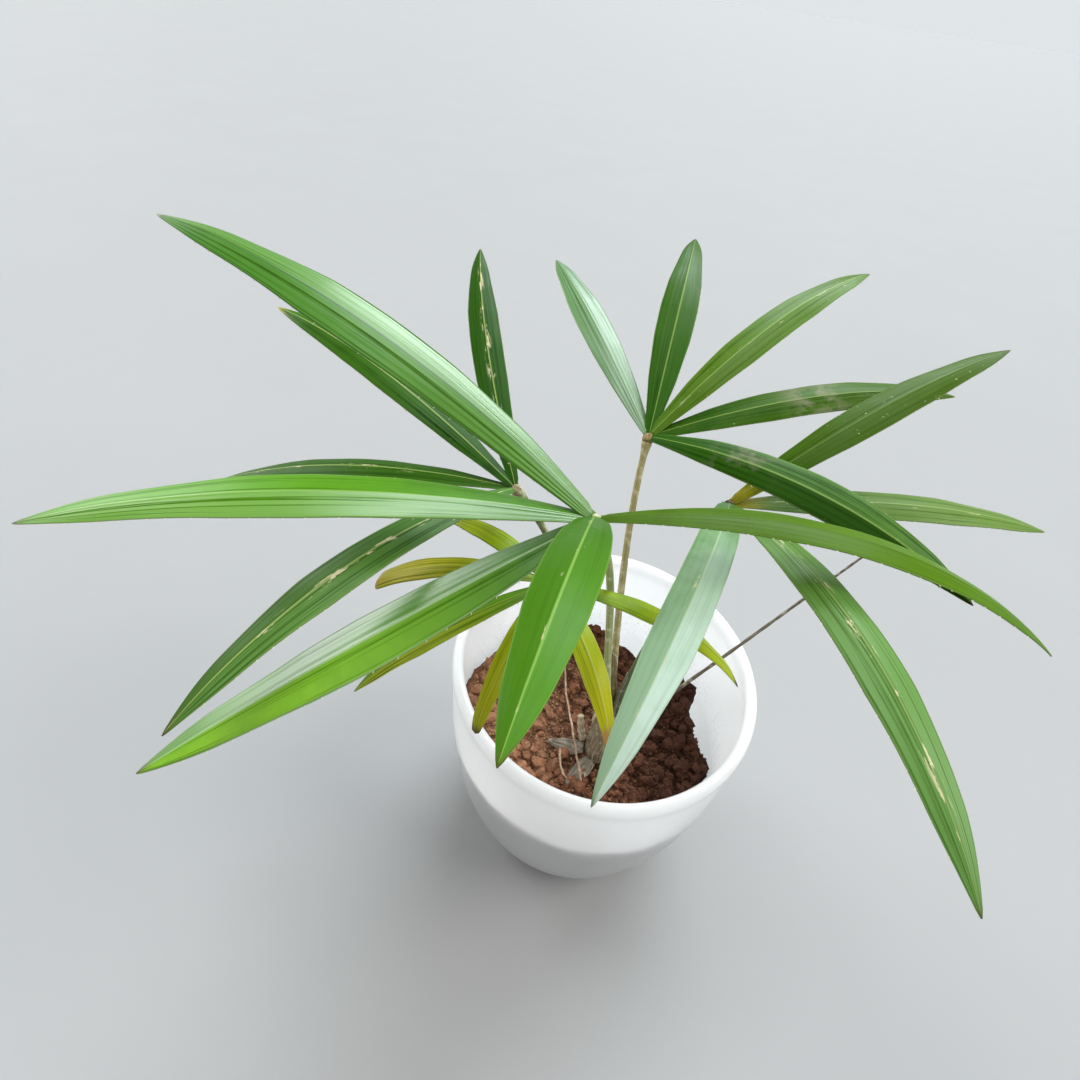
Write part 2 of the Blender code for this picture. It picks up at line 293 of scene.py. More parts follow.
def sheet_of(across, along, place, closed=False, merge=0.00002):
    """A grid whose corner (u, v) goes to place(u, v) in mm. closed sews it round and shuts both ends."""
    bpy.ops.mesh.primitive_grid_add(x_subdivisions=across, y_subdivisions=along, size=1, calc_uvs=True)
    obj = bpy.context.object
    flat = np.empty(len(obj.data.vertices) * 3)
    obj.data.vertices.foreach_get("co", flat)
    flat = flat.reshape(-1, 3) + 0.5
    points = place(flat[:, 0], flat[:, 1]) * MM
    obj.data.vertices.foreach_set("co", points.astype(np.float32).ravel())
    if closed:
        bpy.ops.object.mode_set(mode="EDIT")
        bpy.ops.mesh.select_all(action="SELECT")
        bpy.ops.mesh.remove_doubles(threshold=merge)
        bpy.ops.mesh.select_all(action="SELECT")
        bpy.ops.mesh.fill_holes(sides=0)
        bpy.ops.mesh.select_all(action="SELECT")
        bpy.ops.mesh.normals_make_consistent(inside=False)
        bpy.ops.object.mode_set(mode="OBJECT")
    bpy.ops.object.shade_smooth()
    return obj


def soil_place(u, v):
    """From the middle under the stem out to the edge, then down the side and in to the middle below."""
    out = []
    for a, s in zip(u, v):
        t = 2 * math.pi * a
        crumbled = 0.035 * math.sin(7 * t) * soil_edge(t + 2) + 0.02 * math.sin(17 * t + 1)
        reach = min(SOIL_R * soil_edge(t) * (1 + crumbled), SOIL_R)
        ex, ey = reach * math.cos(t), reach * math.sin(t)
        if s < TOP_END:
            share = s / TOP_END
            x = STEM_X + (ex - STEM_X) * share
            y = STEM_Y + (ey - STEM_Y) * share
            worn = max(0.0, (share - 0.93) / 0.07)
            z = soil_height(x, y) - BED_SUNK + clods(x, y) * (1 - 0.5 * worn) - 2.4 * worn**2
        elif s < SIDE_END:
            down = (s - TOP_END) / (SIDE_END - TOP_END)
            z = soil_height(ex, ey) - 3.1 - 13 * down
            inward = 1 - 0.02 * math.sin(9 * t + 30 * down) - 0.03 * abs(lumps(ex, ey, z, 4.0))
            x, y = ex * inward, ey * inward
        else:
            share = 1 - (s - SIDE_END) / (1 - SIDE_END)
            x, y, z = ex * 0.95 * share, ey * 0.95 * share, SOIL_Z - 17
        out.append((x, y, z))
    return np.array(out)


def strewn(shapes, count, pick):
    """One mesh of count copies. pick(i) gives a shape's number, a 3x3 matrix and a place in millimetres."""
    points, faces, start = [], [], 0
    for i in range(count):
        which, turn, place = pick(i)
        corners, rings = shapes[which]
        points.append(corners @ turn.T + place)
        faces += [tuple(k + start for k in ring) for ring in rings]
        start += len(corners)
    mesh = bpy.data.meshes.new("strewn")
    mesh.from_pydata((np.vstack(points) * MM).tolist(), [], faces)
    mesh.update()
    obj = bpy.data.objects.new("strewn", mesh)
    bpy.context.scene.collection.objects.link(obj)
    return obj


def any_turn(size, squash=1.0):
    """A random rotation times a size, flatter in its own third axis."""
    q = rng.normal(size=4)
    w, x, y, z = q / np.linalg.norm(q)
    turn = np.array(
        [
            [1 - 2 * (y * y + z * z), 2 * (x * y - z * w), 2 * (x * z + y * w)],
            [2 * (x * y + z * w), 1 - 2 * (x * x + z * z), 2 * (y * z - x * w)],
            [2 * (x * z - y * w), 2 * (y * z + x * w), 1 - 2 * (x * x + y * y)],
        ]
    )
    return turn @ np.diag([size, size, size * squash])


def crumb_shape(fineness, seed):
    """An irregular lump of unit radius, from an icosphere pushed in and out."""
    bpy.ops.mesh.primitive_ico_sphere_add(subdivisions=fineness, radius=1.0)
    ball = bpy.context.object
    corners = np.array([v.co for v in ball.data.vertices])
    rings = [tuple(p.vertices) for p in ball.data.polygons]
    bpy.data.objects.remove(ball)
    push = [1 + 0.46 * lumps(c[0] + seed * 9, c[1], c[2], 0.85, 3) for c in corners]
    return corners * np.array(push)[:, None] * np.array([1.0, 0.85, 0.75]), rings


soil_top = sheet_of(230, 130, soil_place, closed=True, merge=0.00001)


def relief(tree, shader, height, strength, depth):
    made = put(tree, "ShaderNodeBump", {"Height": height, "Strength": strength, "Distance": depth})
    tree.links.new(made.outputs["Normal"], shader.inputs["Normal"])


def earth_colour(tree, dark, mid, light):
    """Earth with lighter grains, painted paler towards the left as painted light and darker on the right as
    painted shade.
    """
    place = put(tree, "ShaderNodeTexCoord", {}).outputs["Object"]
    rightward = put(tree, "ShaderNodeSeparateXYZ", {0: place}).outputs["X"]
    uneven = maths(tree, "MULTIPLY", speckle(tree, 120.0), 0.02)
    # Painted light: dry makes the earth paler towards the left.
    dry = ramp(tree, maths(tree, "ADD", rightward, uneven), 0.018, -0.03)
    colour = tint(tree, ramp(tree, speckle(tree, 260.0, detail=5.0), 0.32, 0.68), dark, mid)
    grains = ramp(tree, speckle(tree, 900.0, detail=4.0), 0.52, 0.78)
    colour = tint(tree, grains, colour, light)
    colour = tint(tree, maths(tree, "MULTIPLY", dry, 0.55), colour, light)
    # Painted shade: the earth is painted darker on the right.
    painted_shade_right = ramp(tree, rightward, 0.004, 0.03)
    return tint(tree, maths(tree, "MULTIPLY", painted_shade_right, 0.85), colour, dark)


BED_SHADES = (0.04, 0.015, 0.008), (0.17, 0.065, 0.032), (0.36, 0.18, 0.095)
earth, tree, shader = new_material("moist_earth", 0.95, Specular_IOR_Level=0.25)
tree.links.new(earth_colour(tree, *BED_SHADES), shader.inputs["Base Color"])
relief(tree, shader, speckle(tree, 1800.0, detail=6.0), 0.9, 0.0007)
finish_piece(soil_top, "soil_bed", earth, ["soil"])

big_crumbs = [crumb_shape(2, k) for k in range(5)]
small_crumbs = [crumb_shape(1, k) for k in range(4)]


def on_soil(inset=0.97):
    """A random place on the soil's top, in millimetres."""
    t = rng.uniform(0, 2 * math.pi)
    share = math.sqrt(rng.uniform(0, 1)) * inset
    ex, ey = SOIL_R * soil_edge(t) * math.cos(t), SOIL_R * soil_edge(t) * math.sin(t)
    x, y = STEM_X + (ex - STEM_X) * share, STEM_Y + (ey - STEM_Y) * share
    return x, y


def crumb_pick(shapes, low, high, sunk):
    def pick(i):
        while True:
            x, y = on_soil()
            if math.hypot(x - STEM_X, y - STEM_Y) > STEM_FOOT:
                break
        size = low + (high - low) * rng.random() ** 2
        z = soil_height(x, y) - BED_SUNK + clods(x, y) + size * sunk
        return int(rng.integers(len(shapes))), any_turn(size), np.array((x, y, z))

    return pick


LUMP_SHADES = (0.06, 0.021, 0.011), (0.24, 0.088, 0.043), (0.47, 0.24, 0.13)
CRUMB_SHADES = (0.09, 0.034, 0.017), (0.31, 0.14, 0.07), (0.58, 0.36, 0.21)
for name, shapes, count, low, high, sunk, shades in (
    ("soil_lumps", big_crumbs, 900, 0.9, 3.4, 0.12, LUMP_SHADES),
    ("soil_crumbs", small_crumbs, 4800, 0.3, 0.95, 0.4, CRUMB_SHADES),
):
    crumbs = strewn(shapes, count, crumb_pick(shapes, low, high, sunk))
    loose, tree, shader = new_material(f"{name}_earth", 0.93, Specular_IOR_Level=0.3)
    tree.links.new(earth_colour(tree, *shades), shader.inputs["Base Color"])
    relief(tree, shader, speckle(tree, 2500.0, detail=4.0), 0.7, 0.0004)
    finish_piece(crumbs, name, loose, [])

# Leaves: each has a long thin stalk with a narrow channel, and a fan of stiff, pleated, lance-shaped
# blades that meet in a small fibrous hub. A grid is bent along each blade's own curve and made thin.
BLADE_OFF = 3.2
BLADE_KEEL = 0.2
BLADE_CROWN = 0.4
BLADE_ARCH = 0.022
PLEATS = 7
LEAF_THICK = 0.34
LONG_BLADE = 80
BLADE_SHARES = (0.0, 0.06, 0.18, 0.35, 0.5, 0.65, 0.8, 0.9, 0.96, 1.0)
SLENDER_BASE = (0.27, 0.42, 0.72, 0.94, 1.0, 0.94, 0.72, 0.45, 0.22, 0.03)
BROAD_BASE = (0.52, 0.70, 0.88, 0.98, 1.0, 0.94, 0.72, 0.45, 0.22, 0.03)
WORN_END = (0.27, 0.42, 0.72, 0.94, 1.0, 0.96, 0.84, 0.66, 0.50, 0.30)
TORN_END = (0.27, 0.42, 0.68, 0.80, 0.80, 0.72, 0.60, 0.48, 0.36, 0.22)
BLUNT_END = (0.27, 0.42, 0.74, 0.98, 1.10, 1.15, 1.12, 1.04, 0.95, 0.80)
OUTLINES = {"a4": BROAD_BASE, "c4": BROAD_BASE, "e2": BLUNT_END, "e4": TORN_END, "e5": WORN_END}
# Leaf: its foot's bearing on the stem, two guide points of its stalk, its hub, then its blades as
# bearing, rise, droop, sweep (degrees), length, width (mm), roll (degrees)
LEAVES = {
    "a": (
        None,
        ((-6, -15, 131), (-6, -15, 179)),
        (-20, -23.5, 205),
        (
            (157, 26, 20, 5, 148, 16, -12),
            (190, 7, 20, 3, 142, 15.5, -3),
            (215.5, -18.5, 4, -5.5, 128, 16.8, 1),
            (261, 29, 32, -2.4, 87.5, 13.7, 5),
            (4, 9.7, 41.5, -15.3, 137.5, 13.5, -7),
        ),
    ),
    "b": (
        85,
        ((0, -10, 129), (-4, 21, 166)),
        (-1, 37, 195),
        (
            (117, 17, 18, -9, 115, 13.5, -7),
            (82, 27, 24, -1, 118, 14.5, 0),
            (45, 30, 28, -1, 125, 14, 3),
            (17, 16, 21, 0, 120, 14, 12),
            (324, 15, 36, 4.5, 109, 14.3, 23),
        ),
    ),
    "c": (
        12,
        ((3, -14, 124), (23, 2, 161)),
        (27.5, 14, 188),
        (
            (31, 28, 16, 0, 116, 14, 0),
            (6, 6, 17, 2, 115, 13.5, 4),
            (291, 16, 36, -11, 123, 14, 3),
            (252, 13, 52, -8, 111, 13, 1),
        ),
    ),
    "d": (
        165,
        ((-6, -15, 127), (-23, 5, 165)),
        (-44.5, 8, 186),
        (
            (150, 19, 18, 0, 115, 12.5, -7),
            (114, 24, 13, -15, 116, 12, -1),
            (176, -2, 25, 0, 114, 12, 2),
            (235, 15, 38, 4, 117, 12.5, 2),
        ),
    ),
    "e": (
        248,
        ((1, -20.5, 122), (-16, -20, 153)),
        (-28.5, -21, 174.5),
        (
            (143, 8, 30, 7, 44, 8, -1),
            (175, 2, 45, 4, 59, 8, -1),
            (215, -5, 39, -8, 66, 7.5, 3),
            (249, -2, 67, -1, 50, 8, 0),
            (297, 6, 68, 3, 51, 8, 0),
            (354, -2, 52, 0, 74, 8, -2),
        ),
    ),
}
# Look of a blade. near and far are its greens towards the hub and the tip, and left its left half's if that
# differs. On most blades that left colour is painted light: the half facing the lights is painted paler as a
# painted sheen, the half turned away darker as a painted shade. rib, ribbed and ridge are its rib's colour,
# strength and height, where a groove is below 0. gloss and left_gloss are the wax on its halves, gathers the
# depth of its pleats at the hub, and lined the strength of its dark lines. Then come pale scars, specks, a worn
# grey patch and its place, the dry tip and the foot.
CREAM, BROWN, TAN, OCHRE = (0.56, 0.50, 0.30), (0.10, 0.05, 0.02), (0.40, 0.22, 0.06), (0.40, 0.33, 0.02)
PLAIN = dict(left=None, ridge=0.05, gloss=0.14, left_gloss=None, gathers=0.4, lined=0.8)
PLAIN |= dict(scars=0.0, specks=0.05, worn=0.0, worn_at=0.5, dry=0.012, dry_colour=BROWN, foot=None)
LOOKS = {
    "a": dict(near=(0.04, 0.15, 0.001), far=(0.08, 0.25, 0.001), rib=(0.25, 0.42, 0.08), ribbed=0.35),
    "b": dict(
        near=(0.022, 0.09, 0.001), far=(0.033, 0.105, 0.001), rib=(0.24, 0.36, 0.08), ribbed=0.6, specks=0.3
    ),
    "c": dict(
        near=(0.03, 0.10, 0.001), far=(0.075, 0.17, 0.015), rib=(0.24, 0.34, 0.10), ribbed=0.6, specks=0.3
    ),
    "d": dict(
        near=(0.009, 0.05, 0.001), far=(0.028, 0.10, 0.001), rib=(0.28, 0.36, 0.10), ribbed=0.8, specks=0.25
    ),
    "e": dict(
        near=(0.05, 0.16, 0.002), far=(0.19, 0.25, 0.002), rib=(0.34, 0.38, 0.04), ribbed=0.4, gathers=0.6
    ),
}
OWN_LOOKS = {
    # a1: its right half's paler, bluer near and far greens are partly a painted sheen; its left half is fresh
    # green
    "a1": dict(
        near=(0.08, 0.21, 0.02), far=(0.08, 0.24, 0.01), left=(0.045, 0.19, 0.001), rib=(0.012, 0.08, 0.001),
        ribbed=0.9, ridge=-0.14, gloss=0.85, left_gloss=0.4, gathers=1.0, lined=1.0,
    ),
    "a2": dict(
        near=(0.05, 0.17, 0.005), far=(0.09, 0.27, 0.001), left=(0.12, 0.30, 0.01),
        gloss=0.2, left_gloss=1.0, gathers=0.8,
    ),
    # a3: its pale blue-green rib colour is a painted highlight along the raised rib, laid faintly on the margins
    # too
    "a3": dict(
        near=(0.035, 0.13, 0.001), far=(0.09, 0.25, 0.01), left=(0.24, 0.50, 0.03), rib=(0.45, 0.60, 0.35),
        ribbed=0.6, ridge=0.18, gloss=1.0, left_gloss=0.25, gathers=0.3,
    ),
    "a4": dict(
        near=(0.035, 0.12, 0.001), far=(0.042, 0.135, 0.001), left=(0.055, 0.18, 0.001),
        ribbed=0.5, gloss=0.08, gathers=0.06, lined=0.2, scars=0.25,
    ),
    "a5": dict(
        near=(0.045, 0.10, 0.001), far=(0.075, 0.17, 0.001), ribbed=0.0, gloss=0.04, gathers=0.1, lined=0.3
    ),
    # b1: its pale blue-grey greens are partly a painted sheen
    "b1": dict(
        near=(0.12, 0.22, 0.09), far=(0.10, 0.22, 0.08), left=(0.11, 0.24, 0.07),
        ribbed=0.2, gloss=0.6, gathers=0.9,
    ),
    "b2": dict(ridge=0.15, gloss=0.04, gathers=0.8),
    "b3": dict(
        near=(0.07, 0.15, 0.004), far=(0.09, 0.19, 0.015), left=(0.07, 0.16, 0.01),
        gloss=0.08, scars=0.3, specks=0.5,
    ),
    "b4": dict(
        far=(0.07, 0.14, 0.008), left=(0.045, 0.12, 0.005), gloss=0.015, specks=0.5, worn=0.7, worn_at=0.50
    ),
    "b5": dict(
        near=(0.022, 0.09, 0.001), far=(0.015, 0.06, 0.001), left=(0.07, 0.17, 0.02),
        gloss=0.05, gathers=0.2, specks=0.4, worn=0.5, worn_at=0.31,
    ),
    "c1": dict(
        near=(0.035, 0.09, 0.0005), far=(0.05, 0.11, 0.0005), ribbed=0.3, gloss=0.03, specks=0.6, foot=OCHRE
    ),
    "c2": dict(near=(0.05, 0.13, 0.006), far=(0.12, 0.22, 0.03), scars=0.3, foot=OCHRE),
    "c3": dict(
        near=(0.08, 0.18, 0.015), far=(0.10, 0.22, 0.045), left=(0.11, 0.23, 0.05), gathers=0.2, scars=0.8
    ),
    # c4: its pale blue-white far and left colours are a painted sheen
    "c4": dict(
        near=(0.05, 0.16, 0.008), far=(0.27, 0.41, 0.25), left=(0.52, 0.66, 0.55), rib=(0.40, 0.50, 0.28),
        ribbed=0.4, gathers=0.05, lined=0.15, scars=0.4,
    ),
    "d1": dict(far=(0.04, 0.14, 0.001), left=(0.028, 0.10, 0.001), gloss=0.08, dry=0.03, dry_colour=OCHRE),
    "d2": dict(near=(0.015, 0.07, 0.001), far=(0.02, 0.08, 0.001), gloss=0.03, scars=1.0),
    "d3": dict(near=(0.035, 0.11, 0.006), gloss=0.02, scars=0.5, specks=0.5),
    "d4": dict(
        near=(0.065, 0.17, 0.03), far=(0.05, 0.12, 0.015), left=(0.10, 0.22, 0.04),
        gloss=0.08, gathers=0.25, scars=0.7,
    ),
    "e1": dict(far=(0.28, 0.34, 0.006)),
    "e2": dict(near=(0.12, 0.22, 0.004), far=(0.36, 0.31, 0.003), dry=0.06, dry_colour=TAN),
    "e3": dict(near=(0.05, 0.16, 0.002), far=(0.12, 0.22, 0.004), left=(0.46, 0.50, 0.04)),
    "e4": dict(near=(0.16, 0.27, 0.002), far=(0.34, 0.34, 0.006), dry=0.05),
    "e5": dict(
        near=(0.18, 0.34, 0.004), far=(0.45, 0.43, 0.01), rib=(0.60, 0.60, 0.24), dry=0.11, dry_colour=TAN
    ),
    "e6": dict(near=(0.08, 0.20, 0.004), far=(0.42, 0.50, 0.01), dry=0.06, dry_colour=(0.05, 0.02, 0.01)),
}


def look_of(key):
    """A blade's whole look: what all share, then its leaf's, then its own."""
    return PLAIN | LOOKS[key[0]] | OWN_LOOKS.get(key, {})


def blade_frame(hub, spec, shares):
    """Centre, ahead, left and up of a blade at each share of its length."""
    bearing, rise, droop, sweep, length, width, roll = spec
    fine = np.linspace(0, 1, 41)
    up_angle = np.radians(rise - droop * fine**1.3)
    turn = np.radians(bearing + sweep * fine)
    ahead = np.stack([np.cos(up_angle) * np.cos(turn), np.cos(up_angle) * np.sin(turn), np.sin(up_angle)], 1)
    steps = (ahead[1:] + ahead[:-1]) / 2 * length / 40
    centre = np.vstack([np.zeros(3), np.cumsum(steps, axis=0)]) + np.array(hub, float) + ahead[0] * BLADE_OFF
    left = np.stack([-np.sin(turn), np.cos(turn), np.zeros(41)], 1)
    up = np.cross(ahead, left)
    a = math.radians(roll)
    left, up = left * math.cos(a) + up * math.sin(a), up * math.cos(a) - left * math.sin(a)

    def at(rows):
        return np.stack([np.interp(shares, fine, rows[:, k]) for k in range(3)], 1)

    return at(centre), at(ahead), at(left), at(up)


def blade_width(key, shares):
    """Share of the full width: a smooth curve through the named widths, closed at the tip, later on blunt e2."""
    fine = np.linspace(-0.1, 1.1, 241)
    rough = np.interp(fine, BLADE_SHARES, OUTLINES.get(key, SLENDER_BASE))
    window = np.hanning(13)
    smooth = np.convolve(rough, window / window.sum(), mode="same")
    closed = np.interp(shares, (0.9 if key == "e2" else 0, 0.985, 1.0), (2, 0.36, 0.012))
    return np.minimum(np.interp(shares, fine, smooth), closed)


def blade_points(key, hub, spec, u, v):
    """Points of the blade's skin: u from the right margin to the left, v from the hub to the tip."""
    length, width = spec[4], spec[5]
    tucked = 2.4 / length
    share = -tucked + v * (1 + tucked)
    seed = sum(ord(c) for c in key)
    centre, ahead, left, up = blade_frame(hub, spec, np.clip(share, 0, 1))
    centre = centre + ahead * np.minimum(share, 0)[:, None] * length
    side = 2 * u - 1
    half = width / 2 * blade_width(key, np.clip(share, 0, 1)) * np.where(share < 0, 0.75, 1.0)
    uneven = 1 + 0.02 * np.sin(share * 11 + seed) * np.abs(side)
    body = np.clip(share * 6, 0, 1) * np.clip((1 - share) * 8, 0, 1)
    gathered = np.exp(-np.maximum(share, 0) / 0.13)
    look = look_of(key)
    section = BLADE_CROWN - BLADE_KEEL * np.abs(side) + BLADE_ARCH * np.sin(math.pi * np.abs(side)) * body
    pleat = (0.0025 + 0.013 * look["gathers"] * gathered) * np.cos(side * math.pi * PLEATS)
    ripple = 0.10 * body * np.abs(side) ** 3 * np.sin(share * 23 + seed + 2 * np.sign(side))
    rib = look["ridge"] * body * np.exp(-((side / 0.05) ** 2))
    lift = half * (section + pleat) + ripple + rib
    return centre + left * (side * half * uneven)[:, None] + up * lift[:, None]


def new_group(name, inputs, outputs):
    """An empty shader node group with named float or vector inputs and float outputs."""
    group = bpy.data.node_groups.new(name, "ShaderNodeTree")
    for label, kind in inputs:
        group.interface.new_socket(name=label, in_out="INPUT", socket_type=f"NodeSocket{kind}")
    for label in outputs:
        group.interface.new_socket(name=label, in_out="OUTPUT", socket_type="NodeSocketFloat")
    return group, group.nodes.new("NodeGroupInput"), group.nodes.new("NodeGroupOutput")


# Marks on a blade: dark lines between its pleats, the rib, scars beside it, specks, a worn patch, a dry tip
marks, given, result = new_group(
    "blade_marks",
    [("Map", "Vector"), ("Place", "Vector"), ("Seed", "Float"), ("Scars", "Float"), ("Specks", "Float"),
     ("Worn", "Float"), ("Worn at", "Float"), ("Dry tip", "Float")],
    ["Along", "Left", "Line", "Rib", "Edge", "Mottle", "Scar", "Speck", "Worn", "Tip", "Foot", "Height"],
)
parts = put(marks, "ShaderNodeSeparateXYZ", {0: given.outputs["Map"]})
along = parts.outputs["Y"]
from_right = parts.outputs["X"]
own_map = put(marks, "ShaderNodeCombineXYZ", {0: from_right, 1: along, 2: given.outputs["Seed"]}).outputs[0]
across = maths(marks, "SUBTRACT", maths(marks, "MULTIPLY", from_right, 2.0), 1.0)
side = maths(marks, "ABSOLUTE", across)
lines = speckle(marks, 1.0, detail=3.0, stretch=(13.0, 0.7, 1.0), place=own_map, rough=0.75)
hairlines = speckle(marks, 1.0, detail=2.0, stretch=(60.0, 2.0, 1.0), place=own_map)
mottle = speckle(marks, 120.0, detail=5.0, place=given.outputs["Place"])
spots = speckle(marks, 600.0, detail=4.0, place=given.outputs["Place"], rough=0.7)
scar_noise = speckle(marks, 1.0, detail=5.0, stretch=(6.0, 11.0, 1.0), place=own_map, rough=0.65)
beside_rib = ramp(marks, side, 0.34, 0.03)


def strewn_mask(tree, value, amount, low, high):
    """A mask where value, raised by amount from 0 to 1, passes low to high. None where amount is 0."""
    shown = ramp(tree, maths(tree, "ADD", value, maths(tree, "MULTIPLY", amount, 0.13)), low, high)
    return maths(tree, "MULTIPLY", shown, maths(tree, "MINIMUM", maths(tree, "MULTIPLY", amount, 2.0), 1.0))


scars = strewn_mask(marks, scar_noise, given.outputs["Scars"], 0.66, 0.72)
from_patch = maths(marks, "ABSOLUTE", maths(marks, "SUBTRACT", along, given.outputs["Worn at"]))
patch = maths(marks, "MULTIPLY", ramp(marks, from_patch, 0.13, 0.02), ramp(marks, mottle, 0.40, 0.60))
ragged = maths(marks, "MULTIPLY", maths(marks, "SUBTRACT", lines, 0.5), 0.22)
ragged_along = maths(marks, "ADD", along, ragged)
tip_start = maths(marks, "SUBTRACT", 1.0, given.outputs["Dry tip"])
for label, socket in (
    ("Along", ramp(marks, along, 0.05, 0.85)),
    ("Left", ramp(marks, across, -0.04, 0.04)),
    ("Line", ramp(marks, lines, 0.50, 0.36)),
    ("Rib", ramp(marks, side, 0.060, 0.020)),
    ("Edge", ramp(marks, side, 0.93, 0.985)),
    ("Mottle", ramp(marks, mottle, 0.35, 0.68)),
    ("Scar", maths(marks, "MULTIPLY", scars, beside_rib)),
    ("Speck", strewn_mask(marks, spots, given.outputs["Specks"], 0.74, 0.79)),
    ("Worn", maths(marks, "MULTIPLY", patch, given.outputs["Worn"])),
    ("Tip", ramp(marks, maths(marks, "SUBTRACT", ragged_along, tip_start), -0.02, 0.03)),
    ("Foot", ramp(marks, ragged_along, 0.13, 0.03)),
    ("Height", maths(marks, "ADD", lines, maths(marks, "MULTIPLY", hairlines, 0.35))),
):
    marks.links.new(socket, result.inputs[label])


def leaf_material(key):
    """Living leaf under a coat of wax, fresher green towards the tip, with darker lines and a pale rib."""
    look = look_of(key)
    finish = dict(IOR=1.5, Specular_IOR_Level=0.04, Coat_IOR=1.8, Coat_Roughness=0.34)
    made, tree, shader = new_material(f"leaf_{key}", 0.36, **finish)
    group = put(tree, "ShaderNodeGroup", {}, node_tree=marks)
    tree.links.new(put(tree, "ShaderNodeUVMap", {}, uv_map="UVMap").outputs[0], group.inputs["Map"])
    tree.links.new(put(tree, "ShaderNodeTexCoord", {}).outputs["Object"], group.inputs["Place"])
    given = {"Seed": 3.7 * sum(ord(c) for c in key), "Scars": look["scars"], "Specks": look["specks"]}
    given |= {"Worn": look["worn"], "Worn at": look["worn_at"], "Dry tip": look["dry"]}
    for label, value in given.items():
        group.inputs[label].default_value = value
    out = group.outputs
    near, far = look["near"], look["far"]
    colour = tint(tree, out["Along"], near, far)
    # The left half's own colour is mostly painted light: paler as painted sheen, darker as painted shade
    if look["left"]:
        colour = tint(tree, maths(tree, "MULTIPLY", out["Left"], out["Along"]), colour, look["left"])
    if look["foot"]:
        colour = tint(tree, out["Foot"], colour, look["foot"])
    lines = maths(tree, "MULTIPLY", out["Line"], look["lined"])
    colour = tint(tree, lines, colour, tuple(0.4 * c for c in near))
    colour = tint(tree, maths(tree, "MULTIPLY", out["Mottle"], 0.3), colour, far)
    colour = tint(tree, maths(tree, "MULTIPLY", out["Rib"], look["ribbed"]), colour, look["rib"])
    colour = tint(tree, maths(tree, "MULTIPLY", out["Edge"], 0.35), colour, look["rib"])
    colour = tint(tree, maths(tree, "MULTIPLY", out["Worn"], 0.75), colour, (0.27, 0.25, 0.17))
    colour = tint(tree, out["Scar"], colour, CREAM)
    colour = tint(tree, out["Speck"], colour, CREAM)
    colour = tint(tree, out["Tip"], colour, look["dry_colour"])
    tree.links.new(colour, shader.inputs["Base Color"])
    tree.links.new(ramp(tree, out["Mottle"], 0.0, 1.0, 0.30, 0.40), shader.inputs["Roughness"])
    wax = look["gloss"]
    if look["left_gloss"]:
        wax = ramp(tree, out["Left"], 0.0, 1.0, wax, look["left_gloss"])
    tree.links.new(ramp(tree, lines, 0.0, 0.8, wax, 0.0), shader.inputs["Coat Weight"])
    relief(tree, shader, out["Height"], 0.3, 0.00022)
    return made


SPINE_CORNERS = np.array([(-0.5, 0, -0.3), (0.5, 0, -0.3), (0.3, 0, 0.35), (0.15, 1.0, 0.05)])
SPINE = (SPINE_CORNERS, [(0, 1, 3), (1, 2, 3), (2, 0, 3), (0, 2, 1)])
spine_matter, tree, shader = new_material("pale_spine", 0.5)
pale_green = tint(tree, speckle(tree, 700.0), (0.42, 0.46, 0.22), (0.76, 0.77, 0.56))
tree.links.new(pale_green, shader.inputs["Base Color"])


def spines_of(key, hub, spec):
    """The tiny pale teeth along both margins of a blade."""
    length = spec[4]
    places = []
    for edge in (0.0, 1.0):
        share = 0.09
        while share < 0.93:
            places.append((edge, share))
            share += rng.uniform(3.5, 8.0) / length
    picked = np.array(places)
    here = blade_points(key, hub, spec, picked[:, 0], picked[:, 1])
    inside = blade_points(key, hub, spec, np.abs(picked[:, 0] - 0.04), picked[:, 1])
    further = blade_points(key, hub, spec, picked[:, 0], picked[:, 1] + 0.01)

    def pick(i):
        out = here[i] - inside[i]
        out /= np.linalg.norm(out)
        ahead = further[i] - here[i]
        ahead /= np.linalg.norm(ahead)
        lean = out + ahead * 0.55
        lean /= np.linalg.norm(lean)
        up = np.cross(ahead, lean)
        up /= np.linalg.norm(up)
        size = rng.uniform(0.4, 0.85)
        turn = np.stack([ahead * 0.5, lean * size, up * 0.4], 1)
        return 0, turn, here[i] - out * 0.06

    return strewn([SPINE], len(places), pick)


for letter, (foot, guides, hub, blades) in LEAVES.items():
    spine_pieces = []
    for number, spec in enumerate(blades, 1):
        key = f"{letter}{number}"
        across, along = (36, 84) if spec[4] > LONG_BLADE else (26, 52)
        blade = sheet_of(across, along, lambda u, v: blade_points(key, hub, spec, u, v))
        apply_modifier(blade, "SOLIDIFY", thickness=LEAF_THICK * MM, offset=0.0)
        finish_piece(blade, f"blade_{key}_leaf", leaf_material(key), [f"blade_{key}"])
        if key not in OUTLINES:
            spine_pieces.append(spines_of(key, hub, spec))
    bpy.ops.object.select_all(action="DESELECT")
    for piece in spine_pieces:
        piece.select_set(True)
    bpy.context.view_layer.objects.active = spine_pieces[0]
    bpy.ops.object.join()
    finish_piece(spine_pieces[0], f"spines_{letter}", spine_matter, [])

# Stalks: thin, stiff and slightly ribbed, with a groove down one side, from the sheathed stem to the hub.
# The hub is a small knot of fibres where the blades' ribs run together.
STEM_TOP = (4.5, -17.0, 97.0)
RING_R = 3.2
STALK_R = (1.45, 1.15)
PATH_POINTS = 60


def bezier(p0, p1, p2, p3, count):
    t = np.linspace(0, 1, count)[:, None]
    p0, p1, p2, p3 = (np.array(p, float) for p in (p0, p1, p2, p3))
    return (1 - t) ** 3 * p0 + 3 * (1 - t) ** 2 * t * p1 + 3 * (1 - t) * t**2 * p2 + t**3 * p3


